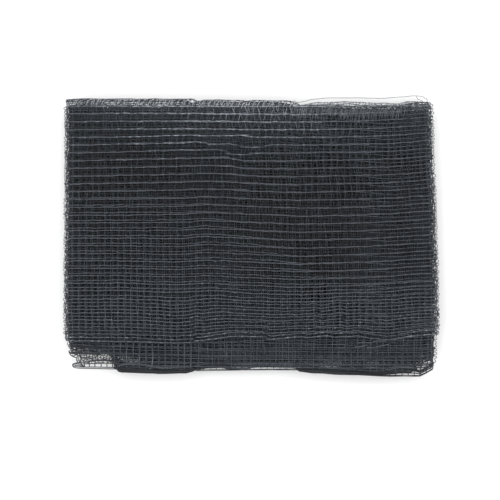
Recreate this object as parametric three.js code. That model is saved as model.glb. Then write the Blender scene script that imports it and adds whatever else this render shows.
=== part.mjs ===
// A folded garden net: one long band of knitted netting, laid back and forth in nine layers.
// Millimetres, +Z up. The pile lies on its back at z = 0, with +X along its width and its
// uneven folds on the near side (-Y) and the far side (+Y).
import * as THREE from "three";

// Driving sizes
const halfWidth = 188;
const halfDepth = 141;
const layerThickness = 2.6; // one layer is the band, itself a few plies of net pleated together
const layerGap = 0.9;
const rimInset = 1.4; // sides and ends thin to a rounded rim over this distance
const crownRise = 0.05; // how much higher the middle of the pile stands, as a share of its height
const waveRise = 0.02; // a slow unevenness over the pile, as a share of its height
const waveAcross = { length: 264, start: 34 };
const waveAlong = { length: 346, start: 64 };
const rollStart = -114; // the upper near fold begins to puff up here
const rollEnd = -127;
const foldSteps = 5;
const longestStep = 36; // between sections across the width
const layerStops = [0, 0.05, 0.1, 0.16, 0.3, 0.55, 0.8, 1]; // places along a layer, near to far

// How far each near fold reaches at places across the width, from the top of the pile down.
// topEnd is the free end of the top layer, roll is how far the upper fold puffs up.
const nearFolds = [
  { x: -188, topEnd: -104, upper: -111, middle: -129, lower: -112, lowest: -109, roll: 0 },
  { x: -162, topEnd: -105, upper: -117, middle: -131, lower: -116, lowest: -114, roll: 0 },
  { x: -135, topEnd: -105, upper: -122, middle: -133, lower: -125, lowest: -122, roll: 0 },
  { x: -129, topEnd: -105, upper: -137, middle: -133, lower: -127, lowest: -124, roll: 3 },
  { x: -94, topEnd: -106, upper: -137, middle: -133, lower: -130, lowest: -127, roll: 4 },
  { x: -66, topEnd: -107, upper: -138, middle: -133, lower: -131, lowest: -129, roll: 4 },
  { x: -55, topEnd: -106, upper: -134, middle: -135, lower: -131, lowest: -129, roll: 1 },
  { x: -26, topEnd: -101, upper: -131, middle: -135, lower: -132, lowest: -130, roll: 0 },
  { x: 12, topEnd: -100, upper: -130, middle: -134, lower: -131, lowest: -130, roll: 0 },
  { x: 44, topEnd: -101, upper: -131, middle: -134, lower: -131, lowest: -129, roll: 0 },
  { x: 49, topEnd: -101, upper: -136, middle: -134, lower: -131, lowest: -129, roll: 3 },
  { x: 102, topEnd: -99, upper: -139, middle: -133, lower: -131, lowest: -128, roll: 4 },
  { x: 107, topEnd: -110, upper: -140, middle: -133, lower: -131, lowest: -128, roll: 4 },
  { x: 137, topEnd: -108, upper: -141, middle: -134, lower: -130, lowest: -128, roll: 3 },
  { x: 152, topEnd: -101, upper: -140, middle: -136, lower: -130, lowest: -127, roll: 2 },
  { x: 172, topEnd: -99, upper: -138, middle: -136, lower: -130, lowest: -126, roll: 0 },
  { x: 188, topEnd: -98, upper: -129, middle: -131, lower: -127, lowest: -123, roll: 0 },
];

// The same for the far folds. bottomEnd is the free end of the bottom layer.
const farFolds = [
  { x: -188, top: 137, loose: 134, third: 135, fourth: 133, bottomEnd: 128 },
  { x: -66, top: 137, loose: 134, third: 134, fourth: 132, bottomEnd: 128 },
  { x: -55, top: 134, loose: 134, third: 134, fourth: 132, bottomEnd: 128 },
  { x: -26, top: 136, loose: 134, third: 133, fourth: 132, bottomEnd: 128 },
  { x: 44, top: 135, loose: 134, third: 133, fourth: 132, bottomEnd: 128 },
  { x: 49, top: 132, loose: 135, third: 132, fourth: 132, bottomEnd: 128 },
  { x: 76, top: 133, loose: 139, third: 132, fourth: 131, bottomEnd: 127 },
  { x: 152, top: 132, loose: 139, third: 132, fourth: 130, bottomEnd: 126 },
  { x: 172, top: 134, loose: 141, third: 131, fourth: 130, bottomEnd: 126 },
  { x: 188, top: 134, loose: 136, third: 131, fourth: 129, bottomEnd: 125 },
];

// The outline of the pile's two sides, near to far.
const sideLines = [
  { y: -141, left: -177, right: 178 },
  { y: -131, left: -179, right: 184 },
  { y: -118, left: -181, right: 185 },
  { y: -102, left: -184, right: 185 },
  { y: -96, left: -185, right: 188 },
  { y: -62, left: -188, right: 188 },
  { y: 20, left: -187, right: 186 },
  { y: 86, left: -186, right: 182 },
  { y: 141, left: -185, right: 180 },
];

// The layers from the bottom up: the folds that they run between, and how far their sides stand
// inside the outline.
const layers = [
  { near: "lowest", far: "bottomEnd", leftIn: 4, rightIn: 3 },
  { near: "lowest", far: "fourth", leftIn: 3, rightIn: 4 },
  { near: "lower", far: "fourth", leftIn: 1, rightIn: 2 },
  { near: "lower", far: "third", leftIn: 3, rightIn: 4 },
  { near: "middle", far: "third", leftIn: 1, rightIn: 3 },
  { near: "middle", far: "loose", leftIn: 2, rightIn: 1 },
  { near: "upper", far: "loose", leftIn: 3, rightIn: 3 },
  { near: "upper", far: "top", leftIn: 1, rightIn: 1 },
  { near: "topEnd", far: "top", leftIn: 0, rightIn: 0 },
];
const layerPitch = layerThickness + layerGap;
const rolledLayer = layers.length - 2; // the upper layer of the upper near fold

const ease = (share) => THREE.MathUtils.smoothstep(share, 0, 1);
const mix = THREE.MathUtils.lerp;

// A column of a table at any place, eased between its rows.
function readTable(table, key, column, place) {
  const next = table.findIndex((row) => row[key] >= place);
  if (next === 0) return table[0][column];
  if (next < 0) return table[table.length - 1][column];
  const before = table[next - 1];
  const after = table[next];
  const share = (place - before[key]) / (after[key] - before[key]);
  return mix(before[column], after[column], ease(share));
}

// The pile is a little higher in the middle, with a slow wave across it.
function heightShare(x, y) {
  const crown = (1 - (x / halfWidth) ** 2) * (1 - (y / halfDepth) ** 2);
  const across = Math.sin((2 * Math.PI * (x + waveAcross.start)) / waveAcross.length);
  const along = Math.sin((2 * Math.PI * (y + waveAlong.start)) / waveAlong.length);
  return 1 + crownRise * crown + waveRise * across * along;
}

// Lower and upper face of a layer.
function layerHeights(index, x, y) {
  const share = heightShare(x, y);
  const puffed = index === rolledLayer ? ease((rollStart - y) / (rollStart - rollEnd)) : 0;
  const puff = puffed * readTable(nearFolds, "x", "roll", x);
  return {
    low: index * layerPitch * share + puff,
    high: (index * layerPitch + layerThickness) * share + puff,
  };
}

// How far a layer's sides stand in, sliding from one layer to the next so that folds join.
function sideInset(column, index, travelled) {
  const own = layers[index][column];
  const before = layers[Math.max(index - 1, 0)][column];
  const after = layers[Math.min(index + 1, layers.length - 1)][column];
  if (travelled < 0.5) return mix((before + own) / 2, own, 2 * travelled);
  return mix(own, (own + after) / 2, 2 * travelled - 1);
}

// A fold between a layer and the next one up: its middle and its inner and outer radius.
function foldAt(index, nearSide, x) {
  const table = nearSide ? nearFolds : farFolds;
  const reach = readTable(table, "x", layers[index][nearSide ? "near" : "far"], x);
  const inward = nearSide ? 1 : -1;
  const guess = reach + inward * layerPitch;
  const below = layerHeights(index, x, guess);
  const above = layerHeights(index + 1, x, guess);
  const outer = (above.high - below.low) / 2;
  return {
    y: reach + inward * outer,
    z: (above.high + below.low) / 2,
    outer,
    inner: (above.low - below.high) / 2,
    outward: -inward,
  };
}

// One section across the pile: a node for each stop along the folded band, with its lower and
// upper face on a layer and its outer and inner face on a fold.
function sectionNodes(x) {
  const nodes = [];
  layers.forEach((layer, index) => {
    const towardNear = index % 2 === 0;
    const isFirst = index === 0;
    const isLast = index === layers.length - 1;
    const nearY = isLast
      ? readTable(nearFolds, "x", layer.near, x)
      : foldAt(towardNear ? index : index - 1, true, x).y;
    const farY = isFirst
      ? readTable(farFolds, "x", layer.far, x)
      : foldAt(towardNear ? index - 1 : index, false, x).y;

    let stops = layerStops.map((stop) => mix(nearY, farY, stop));
    if (isLast) stops.splice(1, 0, nearY + rimInset);
    if (isFirst) stops.splice(stops.length - 1, 0, farY - rimInset);
    if (towardNear) stops = stops.reverse();
    const span = stops[stops.length - 1] - stops[0];
    stops.forEach((y) => {
      const { low, high } = layerHeights(index, x, y);
      const faces = towardNear ? [high, low] : [low, high];
      const travelled = (y - stops[0]) / span;
      nodes.push({ index, travelled, points: faces.map((z) => ({ y, z })) });
    });
    if (isLast) return;

    const fold = foldAt(index, towardNear, x);
    const radii = towardNear ? [fold.inner, fold.outer] : [fold.outer, fold.inner];
    for (let step = 1; step < foldSteps; step++) {
      const turn = Math.PI * (step / foldSteps - 0.5);
      const points = radii.map((radius) => ({
        y: fold.y + fold.outward * radius * Math.cos(turn),
        z: fold.z + radius * Math.sin(turn),
      }));
      nodes.push({ index, travelled: 1, points });
    }
  });
  return nodes;
}

// A place in a section, slid along X so that the section's ends follow the pile's two sides.
function placed(x, node, { y, z }) {
  const { index, travelled } = node;
  const left = readTable(sideLines, "y", "left", y) + sideInset("leftIn", index, travelled);
  const right = readTable(sideLines, "y", "right", y) - sideInset("rightIn", index, travelled);
  return [mix(left, right, (x / halfWidth + 1) / 2), y, z];
}

const middleOf = ([a, b]) => ({ y: (a.y + b.y) / 2, z: (a.z + b.z) / 2 });

// Places across the width: every row of the tables, steps between them, and a rim at each side.
function placesAcross() {
  const rows = [...nearFolds, ...farFolds].map((row) => row.x);
  const rims = [rimInset - halfWidth, halfWidth - rimInset];
  const marks = [...new Set([...rows, ...rims])].sort((a, b) => a - b);
  return marks.flatMap((x, i) => {
    if (i === 0) return [x];
    const before = marks[i - 1];
    const count = Math.ceil((x - before) / longestStep);
    return Array.from({ length: count }, (_, n) => mix(before, x, (n + 1) / count));
  });
}

// The closed skin. A section is a loop down one face of the band and back along the other, and
// the first and last sections, and both ends of the band, are pinched to the middle of it.
function foldedNetGeometry() {
  const positions = [];
  const triangles = [];
  const across = placesAcross();
  const loops = across.map((x, place) => {
    const nodes = sectionNodes(x);
    const isSide = place === 0 || place === across.length - 1;
    const add = (node, point) => {
      positions.push(...placed(x, node, point));
      return positions.length / 3 - 1;
    };
    const down = [];
    const back = [];
    nodes.forEach((node, i) => {
      if (isSide || i === 0 || i === nodes.length - 1) {
        const rim = add(node, middleOf(node.points));
        down.push(rim);
        back.push(rim);
      } else {
        down.push(add(node, node.points[0]));
        back.push(add(node, node.points[1]));
      }
    });
    return [...down, ...back.slice(1, -1).reverse()];
  });
  for (let place = 0; place + 1 < loops.length; place++) {
    const here = loops[place];
    const next = loops[place + 1];
    here.forEach((corner, i) => {
      const after = (i + 1) % here.length;
      triangles.push(corner, next[after], next[i], corner, here[after], next[after]);
    });
  }
  const geometry = new THREE.BufferGeometry();
  geometry.setAttribute("position", new THREE.Float32BufferAttribute(positions, 3));
  geometry.setIndex(triangles);
  geometry.computeVertexNormals();
  return geometry;
}

const blackNet = new THREE.MeshStandardMaterial({ color: 0x34373b, roughness: 0.65, metalness: 0 });
const foldedNet = new THREE.Mesh(foldedNetGeometry(), blackNet);
foldedNet.name = "folded_net";

const pile = new THREE.Group();
pile.add(foldedNet);
export default pile;
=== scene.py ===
import math
import bpy
import numpy as np
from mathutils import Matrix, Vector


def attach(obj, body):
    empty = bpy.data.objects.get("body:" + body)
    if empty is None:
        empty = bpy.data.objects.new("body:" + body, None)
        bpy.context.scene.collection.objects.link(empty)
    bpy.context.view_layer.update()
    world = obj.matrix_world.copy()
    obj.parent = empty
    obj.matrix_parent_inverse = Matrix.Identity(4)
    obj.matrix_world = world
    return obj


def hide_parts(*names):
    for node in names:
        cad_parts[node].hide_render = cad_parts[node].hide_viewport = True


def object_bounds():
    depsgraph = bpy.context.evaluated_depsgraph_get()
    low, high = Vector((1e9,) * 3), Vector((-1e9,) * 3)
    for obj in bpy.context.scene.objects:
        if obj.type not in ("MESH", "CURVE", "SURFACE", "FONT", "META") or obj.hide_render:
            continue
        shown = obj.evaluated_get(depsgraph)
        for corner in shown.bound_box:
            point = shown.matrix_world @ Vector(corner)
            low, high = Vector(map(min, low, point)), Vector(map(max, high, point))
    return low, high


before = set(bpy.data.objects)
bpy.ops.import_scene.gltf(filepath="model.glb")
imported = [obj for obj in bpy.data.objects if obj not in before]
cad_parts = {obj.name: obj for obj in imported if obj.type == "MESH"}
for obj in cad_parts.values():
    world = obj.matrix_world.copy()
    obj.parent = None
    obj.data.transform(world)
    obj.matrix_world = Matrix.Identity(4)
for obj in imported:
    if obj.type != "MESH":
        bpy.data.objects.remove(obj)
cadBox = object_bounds()  # the solid's box; its top sets the camera's height
draw = np.random.default_rng(11)  # how strands lie
stitches = np.random.default_rng(5)  # how their stitches vary
mm = 0.001
print("frame loaded:", list(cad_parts))


def tableOf(keys, *rows):
    # rows of values under one line of keys
    return [dict(zip(keys.split(), row)) for row in rows]


# The pile: nine layers of a pleated band, folded back and forth. Lengths in mm.
pile = {
    "halfWidth": 188,
    "halfDepth": 141,
    "layerThickness": 2.6,
    "layerGap": 0.9,
    "crownRise": 0.05,  # shares of the height
    "waveRise": 0.02,
    "waveAcross": {"length": 264, "start": 34},
    "waveAlong": {"length": 346, "start": 64},
    "roll": {"from": -122, "over": -7},  # the upper near fold puffs up from here
    "cornerFrom": -108,  # the sides turn in past here
    "cornerReach": 12,
}

# How far each fold reaches, as (place across, reach). bottomEnd is the net's lower free end.
foldReach = {
    "upper": [(-188, -130), (-150, -132), (-142, -133.4), (-129, -136), (-94, -137), (-66, -137.5),
        (-55, -134), (-40, -132.4), (-28, -132), (-25, -133.4), (-3, -133.4), (1, -132), (44, -132.4),
        (49, -136), (102, -139.5), (137, -141), (172, -141), (176, -140.2), (180, -138), (184, -135.4),
        (188, -133)],
    "middle": [(-188, -113), (-178, -116.4), (-160, -117.6), (-144, -118.6), (-138, -132.6), (-66, -134),
        (-55, -136), (-36, -135.5), (12, -135), (44, -135), (107, -134), (137, -134), (160, -134),
        (170, -132), (177, -127), (188, -125)],
    "lower": [(-188, -111), (-176, -115), (-160, -117), (-146, -118), (-133, -122), (-94, -130),
        (12, -131), (152, -130), (188, -122)],
    "lowest": [(-188, -109), (-176, -113), (-160, -115), (-146, -116), (-133, -119), (-94, -127),
        (12, -130), (152, -127), (188, -120)],
    "top": [(-188, 136), (-185, 137.4), (-181, 137.8), (-62, 137.6), (-57, 134.6), (-52, 136.8),
        (-11, 136.4), (-6, 134), (-1, 136.4), (40, 135.6), (46, 131.5), (60, 131.5), (110, 129.5),
        (145, 129), (160, 132), (172, 134.6), (183, 134.6), (188, 133.4)],
    "loose": [(-188, 134.4), (-152, 134.6), (-148, 132.6), (-133, 132.6), (-129, 134.4), (-112, 134.2),
        (-108, 133), (-84, 133), (-80, 134.2), (42, 133.4), (48, 132), (64, 134.4), (91, 135.4),
        (145, 133.6), (165, 135.6), (183, 135), (188, 133.6)],
    "third": [(-188, 132.8), (-152, 133.4), (-148, 130.6), (-130, 130.8), (-126, 133.2), (-113, 133.2),
        (-108, 131), (-84, 131), (-79, 133.2), (-62, 132.8), (-50, 131.5), (44, 132), (60, 131.5),
        (152, 130), (188, 127)],
    "fourth": [(-188, 131.6), (-152, 132), (-147, 129.4), (-131, 129.4), (-126, 132), (-113, 132),
        (-107, 129.8), (-85, 129.8), (-79, 132), (-62, 131.6), (-50, 130.4), (44, 131), (60, 130),
        (152, 128), (188, 126)],
    "bottomEnd": [(-188, 128), (44, 128), (152, 126), (188, 125)],
}

# The top layer's free end runs across in lengths, with a small pleat between one and the next.
endRuns = [
    {"until": -56, "line": [(-188, -104.6), (-129, -105.4), (-76, -107), (-57, -106.5)]},
    {"until": 14, "line": [(-55, -104.8), (-35, -102.7), (-22, -100.3), (13, -100.7)]},
    {"until": 52, "line": [(15, -103.4), (51, -100.7)]},
    {"until": 77, "line": [(53, -101.6), (76, -99.8)]},
    {"until": 106, "line": [(78, -101.2), (98, -100.5), (106, -99.4)]},
    {"until": 188, "line": [(106, -100), (122, -102.6), (134, -103.6), (140, -103.4), (150, -101.6),
                            (159, -100.2), (169, -99), (188, -98.2)]},
]

# Where the rows near a bunched fold follow a plainer line than the fold itself.
rowLine = {
    "upper": [(-188, -126), (-143, -127), (-94, -128.5), (-26, -130), (102, -131),
              (172, -131), (188, -129)],
}

# How far the upper near fold puffs up, and how far the innermost ply stays back from a fold.
rollRise = [
    (-135, 0), (-129, 3), (-94, 4), (-66, 4), (-55, 1), (-26, 0), (44, 0), (49, 3), (102, 4), (137, 3),
    (152, 2), (172, 0),
]
pullBack = {
    "upper": [(-188, 2), (-142, 1.6), (-128, 1), (-58, 1), (-52, 2), (44, 2), (49, 1), (120, 1.2),
              (134, 3), (146, 3.8), (168, 3.8), (174, 2.6), (181, 4), (188, 4)],
    "middle": [(-188, 6), (-146, 5), (-140, 2), (-128, 2), (-54, 1), (-48, 3), (-30, 3), (-24, 0.8),
               (-2, 0.8), (4, 3.4), (44, 3.4), (52, 1), (188, 3)],
    "top": [(-188, 1.6), (44, 1.6), (60, 3), (150, 3), (170, 3)],
    "loose": [(-188, 3), (44, 3), (60, 6), (150, 6), (188, 3)],
}
plainPull = [(-188, 2.5), (188, 2.5)]

# At the near left corner the upper layers are drawn back, and one thin ply shows below them.
nearCorner = {"right": -140, "rightWave": (3, 1 / 1.1), "far": -119.4, "farWave": (0.4, 3)}

# The two sides of the pile, as (place along, reach).
sideReach = {
    "left": [
        (-141, -181), (-131, -182), (-124, -181), (-118, -184.2), (-112, -186.4), (-96, -188),
        (-62, -188.5), (20, -188), (86, -187.6), (124, -188), (134, -187.8), (141, -187),
    ],
    "right": [
        (-141, 183), (-131, 187), (-118, 188), (-104, 188.4), (-99, 189.2), (-96, 189.4), (-62, 189.1),
        (20, 187.1), (86, 184.2), (124, 183.3), (134, 182.7), (141, 181),
    ],
}
tongue = {
    "layers": (4, 5), "from": -112, "over": -10, "inset": 3.6, "reach": 7,
    "folds": (4, 6), "right": -128, "fade": 12, "pale": 0.1,
}

# The layers from the bottom up: their folds, and how far their sides stand in.
layers = tableOf(
    "near far left right",
    ("lowest", "bottomEnd", 5, 5),
    ("lowest", "fourth", 4, 5),
    ("lower", "fourth", 3, 4),
    ("lower", "third", 4, 5),
    ("middle", "third", 2, 4),
    ("middle", "loose", 3, 3),
    ("upper", "loose", 3, 3),
    ("upper", "top", 1, 1.5),
    ("end", "top", 0, 0),
)
lastLayer = len(layers) - 1
layerPitch = pile["layerThickness"] + pile["layerGap"]


def smooth(share):
    share = np.clip(share, 0, 1)
    return share * share * (3 - 2 * share)


def fadeIn(part, place):
    # begins at a place; a negative "over" goes the other way
    return smooth((place - part["from"]) / part["over"])


def within(part, place):
    return smooth((place - part["left"]) / part["fade"]) * smooth((part["right"] - place) / part["fade"])


def waved(wave, place, lag=0):
    height, length = wave
    return height * np.sin(place / length + lag)


def roundFold(turn):
    # the direction in which a fold goes on, at a turn in degrees
    angle = math.radians(turn)
    return np.array([0, -math.sin(angle), math.cos(angle)])


def eased(stations, place):
    at, value = np.array(stations, float).T
    left = np.clip(np.searchsorted(at, place) - 1, 0, len(at) - 2)
    share = smooth((place - at[left]) / (at[left + 1] - at[left]))
    return value[left] + (value[left + 1] - value[left]) * share


def endLine(x):
    starts = [run["until"] for run in endRuns[:-1]]
    return np.choose(np.searchsorted(starts, x), [eased(run["line"], x) for run in endRuns])


def layerFaces(index, x, y):
    crown = (1 - (x / pile["halfWidth"]) ** 2) * (1 - (y / pile["halfDepth"]) ** 2)
    across, along = (
        np.sin(2 * math.pi * (place + pile[wave]["start"]) / pile[wave]["length"])
        for place, wave in ((x, "waveAcross"), (y, "waveAlong"))
    )
    share = 1 + pile["crownRise"] * crown + pile["waveRise"] * across * along
    puff = 0
    if index == lastLayer - 1:
        puff = eased(rollRise, x) * fadeIn(pile["roll"], y)
    low = index * layerPitch * share + puff
    return low, low + pile["layerThickness"] * share


def sideInset(side, index, travelled):
    own = layers[index][side]
    before = (own + layers[max(index - 1, 0)][side]) / 2
    after = (own + layers[min(index + 1, lastLayer)][side]) / 2
    return np.where(travelled < 0.5, before + (own - before) * 2 * travelled,
                    own + (after - own) * (2 * travelled - 1))


def slideAcross(index, travelled, x, y):
    # a section's ends follow the pile's two sides, and only its last strands a rounded corner
    straight = np.maximum(y, pile["cornerFrom"])
    left = eased(sideReach["left"], straight) + sideInset("left", index, travelled)
    right = eased(sideReach["right"], straight) - sideInset("right", index, travelled)
    slid = left + (right - left) * (x / pile["halfWidth"] + 1) / 2
    for side, inward in (("left", x + pile["halfWidth"]), ("right", pile["halfWidth"] - x)):
        rounded = eased(sideReach[side], y) - eased(sideReach[side], straight)
        slid = slid + rounded * np.exp(-np.maximum(inward, 0) / pile["cornerReach"])
    if index in tongue["layers"]:
        narrow = tongue["inset"] * fadeIn(tongue, y)
        slid = slid + narrow * np.exp(-(x + pile["halfWidth"]) / tongue["reach"])
    return slid


# The net: three plies to a layer, a bold knitted row every rowPitch, thin strands between rows.
net = {
    "rowPitch": 7.6,
    "columns": 58,
    "columnInset": 2.2,
    "plyHeights": (0.86, 0.60, 0.14),  # shares of a layer's thickness, turned over in every other layer
    "rowWide": 1.0,
    "rowThick": 0.7,
    "rowVary": (0.88, 1.1),
    "rowSlack": (0, 0.18, 0.05),
    "knotWide": 1.3,
    "knotShine": 1.12,  # knots catch the light
    "strandWide": 0.54,
    "strandThick": 0.5,
    "strandSlack": (0.2, 0, 0.04),
    "foldRowWide": 1.0,
    "sideBulge": 1.3,  # the loops where a ply turns back at a side
    "bulgeVary": (0.6, 1.6),
    "sideFade": 24,  # knots hardly slip this close to a side
    "gather": 6,  # how soon the rows straighten away from an uneven fold
    "foldTurns": (-70, -42, -14, 14, 42, 70),
    "foldPull": (0, 0.65, 1),  # how far the plies stay back from a fold, outermost first
    "foldSpread": 0.45,  # plies lie closer together round a fold than in a layer
    "lean": 4.2,  # strands lean as they go round the far folds
    "knotWander": 0.26,
    "farJog": {"more": 2.0, "from": -20, "over": 60},  # strands jog more from row to row in the far half
    "edgeColumns": (2.0,),  # strands drawn together along each side
    "jump": 1.6,  # a row that steps further than this at a pleat ducks under
    "dip": 0.9,
    "dipShade": 0.9,
    "rowShade": (0.54, 1.27),  # stitches vary in how much light they catch
    "thinShade": (0.15, 2.0),
}
plies = range(3)
phases = draw.uniform(0, 2 * math.pi, (len(layers), len(plies), 8))


def foldAt(lower, ply, x):
    # a fold from a layer up to the next, as a ply goes round it
    nearSide = lower % 2 == 0
    name = layers[lower]["near" if nearSide else "far"]
    inward = 1 if nearSide else -1
    rank = 2 - ply if nearSide else ply
    reach = eased(foldReach[name], x)
    lowBelow, highBelow = layerFaces(lower, x, reach + inward * layerPitch)
    lowAbove, highAbove = layerFaces(lower + 1, x, reach + inward * layerPitch)
    outer, inner = (highAbove - lowBelow) / 2, (lowAbove - highBelow) / 2
    height = net["plyHeights"][ply]
    depth = (height if nearSide else 1 - height) * net["foldSpread"]
    pull = eased(pullBack.get(name, plainPull), x) * net["foldPull"][rank]
    return {
        "y": reach + inward * (outer + pull),
        "z": (highAbove + lowBelow) / 2,
        "radius": outer + (inner - outer) * depth,
        "outward": -inward,
    }


def plyEnds(index, ply, x):
    # where a ply's flat run starts and stops in a layer
    towardNear = index % 2 == 0
    near = endLine(x) if index == lastLayer else foldAt(index if towardNear else index - 1, ply, x)["y"]
    far = eased(foldReach["bottomEnd"], x) if index == 0 else foldAt(
        index - 1 if towardNear else index, ply, x)["y"]
    return near, far


def slowWave(index, ply, first, x, y, length):
    # two waves at different slants
    a, b, c, d = phases[index, ply, first:first + 4]
    return (np.sin(x / length + a) * np.cos(y / (1.3 * length) + b)
            + 0.6 * np.sin((x + 0.7 * y) / (0.55 * length) + c) * np.cos(y / length + d))


# How the rows of the top layer lie, seen from above. Lengths in mm.
topRows = {
    "even": {"rows": 26, "from": 129.8, "to": -66.7, "ease": 0.025},
    "close": {"rows": 6, "to": -105},  # rows lie closer toward the near end
    "second": {  # the second ply's rows slip out above the first ply's, up to half a mesh
        "across": {"from": -120, "over": 240}, "from": (52, -42), "over": (36, 22),  # left and right
        "hidden": 0.4, "more": 2.2, "last": {"from": -45, "over": -25, "more": 0.9},
    },
    "third": {"from": 96, "over": 46, "slip": 3.6, "tone": 0.3},  # shows between the rows at the right
    "slip": 2.2,  # the plies' strands lie a third of a mesh apart
    "zigzag": 1.1,  # strands lean to and fro by the far folds
    "gather": 14,
    "pleatPinch": 1.2,
    "pleatReach": 9,
    "pleatFade": 6,
}
rowLie = {  # lines that rows follow at places along the top, as (place across, rise)
    121.8: [(-188, 0.5), (-131, 0.9), (-71, 0.8), (49, -0.2), (79, 0.3), (109, 1), (139, 2.2), (159, 3.4),
        (188, 5.6)],
    105.8: [(-188, 0.3), (-131, 1.2), (-71, 1.5), (-1, 0.8), (49, 0.6), (79, 1), (109, 1.4), (139, 2.4),
        (159, 3.6), (188, 5.8)],
    97.8: [(-188, 1), (-131, 1.2), (-61, 3.1), (-48, 2.5), (-20, 2.7), (-5, 3.5), (-1, 1.4), (49, 0.8),
        (79, 1.2), (109, 1.8), (139, 2.5), (159, 3.8), (188, 6.2)],
    89.8: [(-188, 1.1), (-131, 2.2), (-71, 3.4), (-50, 5.2), (-47, 2), (-28, 2), (-18, 3.2), (-14, -0.8),
        (13, -1), (17, 1.5), (49, 1.2), (79, 1.4), (109, 2.1), (139, 2.6), (159, 4), (188, 6.8)],
    81.8: [(-188, 1.2), (-131, 2.4), (-71, 4.1), (-28, 4.6), (-21, -0.5), (-1, -0.5), (2, 1.2), (49, 1.2),
        (79, 1.9), (109, 2.2), (139, 2.7), (159, 4), (188, 6.6)],
    73.9: [(-188, 1.2), (-131, 2.4), (-71, 3.8), (-22, 4.6), (-8, 1.2), (49, 1.2), (79, 2), (109, 2.5),
        (139, 3), (159, 4.3), (188, 6.8)],
    52: [(-188, 1.9), (-131, 2.8), (-101, 3.4), (-71, 3.9), (-46, 4.9), (-20, 4), (10, 1.8), (49, 1.3),
        (79, 2), (109, 2.6), (139, 3.1), (159, 4.4), (188, 7)],
    21: [(-188, 2.2), (-131, 2.4), (-101, 2.8), (-71, 3.4), (-46, 5.2), (-10, 3.6), (49, 1.3), (79, 1.7),
        (109, 2.4), (139, 3.8), (159, 5.1), (188, 7)],
    -19: [(-188, 2.8), (-131, 3.1), (-101, 2.4), (-71, 2), (-46, 4), (-10, 2.6), (49, 0), (79, 1.1),
        (109, 1.8), (139, 3.1), (159, 4.5), (188, 6)],
    -59: [(-188, 4.1), (-131, 4.6), (-101, 3.3), (-71, 3.2), (-46, 3.9), (-10, 2), (49, 0), (79, 1),
        (109, 1.7), (139, 3.5), (159, 5.5), (188, 6.2)],
    -105: [(-188, 0), (188, 0)],
}
bends = tableOf(  # soft troughs and ridges: place, reach across and along, shift of the rows
    "x y across along shift",
    (-36, -76, 18, 18, 1.4),
    (-72, -80, 20, 18, -1.8),
    (96, -70, 26, 14, 1.2),
)
pleats = tableOf(  # rows climb to a pleat from the left and start again lower
    "x y along reach before after",
    (-52, -84, 14, 14, 1.2, -1.2),
    (66, -82, 15, 12, 1.3, -1.5),
    (90, -84, 13, 12, 1.3, -1.3),
)
matched = tableOf(  # where the plies' strands lie over one another, so that dark meshes show between them
    "x y across along share",
    (-130, -80, 90, 42, 0.65),
    (-130, 4, 70, 40, 0.45),
    (118, -78, 84, 26, 0.5),
    (118, 84, 62, 30, 0.62),
    (-78, 116, 38, 15, 0.5),
    (42, 116, 34, 15, 0.15),
)


def patchShare(patch, x, y):
    # 1 in the middle of a patch, fading with its reach
    return np.exp(-((x - patch["x"]) / patch["across"]) ** 2 - ((y - patch["y"]) / patch["along"]) ** 2)


def pliesApart(x, y):
    together = sum(patch["share"] * patchShare(patch, x, y) for patch in matched)
    return 1 - np.clip(together, 0, 1)


def rowRise(x, y):
    rises = np.stack([np.interp(x, *np.array(line, float).T) for line in rowLie.values()])
    place = np.interp(-y, [-along for along in rowLie], range(len(rowLie)))
    below = np.minimum(place.astype(int), len(rowLie) - 2)
    first, second = (np.take_along_axis(rises, (below + step)[None], 0)[0] for step in (0, 1))
    return first + (second - first) * (place - below)


def topRowShift(ply, x, y):
    shift = rowRise(x, y)
    for bend in bends:
        shift = shift + bend["shift"] * patchShare(bend, x, y)
    for pleat in pleats:
        apart = x - pleat["x"]
        fading = np.exp(-np.abs(apart) / pleat["reach"] - ((y - pleat["y"]) / pleat["along"]) ** 2)
        shift = shift + np.where(apart < 0, pleat["before"], pleat["after"]) * fading
    if ply == 1:
        second = topRows["second"]
        side = fadeIn(second["across"], x)
        start, over = (second[key][0] * (1 - side) + second[key][1] * side for key in ("from", "over"))
        shift = shift + second["hidden"] + second["more"] * smooth((start - y) / over)
        shift = shift + second["last"]["more"] * fadeIn(second["last"], y)
    elif ply == 2:
        shift = shift - topRows["third"]["slip"] * fadeIn(topRows["third"], x)
    return shift


sampled = np.linspace(-180, 180, 61)  # places across, to take a layer's mean ends


def rowPlaces(index):
    # the rows of a layer from near to far, before they bend
    if index == lastLayer:
        even, close = topRows["even"], topRows["close"]
        share = np.linspace(0, 1, even["rows"])
        share = share + even["ease"] * share * (1 - share)
        last = np.linspace(even["to"], close["to"], close["rows"] + 1)[1:]
        return np.concatenate([even["from"] + (even["to"] - even["from"]) * share, last])[::-1]
    near, far = (end.mean() for end in plyEnds(index, 1, sampled))
    count = round((far - near) / net["rowPitch"])
    return near + (far - near) * (np.arange(count) + 0.5) / count


# Patches of the top layer that look different. The first is painted glare: plies and strands painted paler
# by the far folds, as if lit from behind.
farGlare = {  # painted glare, paler by the far folds
    "x": 6, "y": 115, "across": 138, "along": 33,
    "tone": 0.58,
    "even": {"rowShade": 0.75, "thinShade": 0.6},
    "strands": 0.2,
    "farStrands": {"more": 0.22, "from": 97, "over": 18},
}
bold = {"x": -98, "y": 92, "across": 76, "along": 46, "rows": 0.19, "strands": 0.3}  # rows stand out

# Stretches of the near end, between two places across.
crowd = {"left": -55, "right": 150, "fade": 30, "from": -98, "over": -5}  # rows crowd together
ladder = {"left": -152, "right": -50, "fade": 12, "from": -100, "over": -5}  # square meshes show

# How pale thin strands look beside the rows.
strandTone = {
    "pale": 0.68, "apart": {"less": 0.1, "from": 126, "over": -10}, "crowdLess": 0.05, "ladderMore": 0.2,
}


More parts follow.
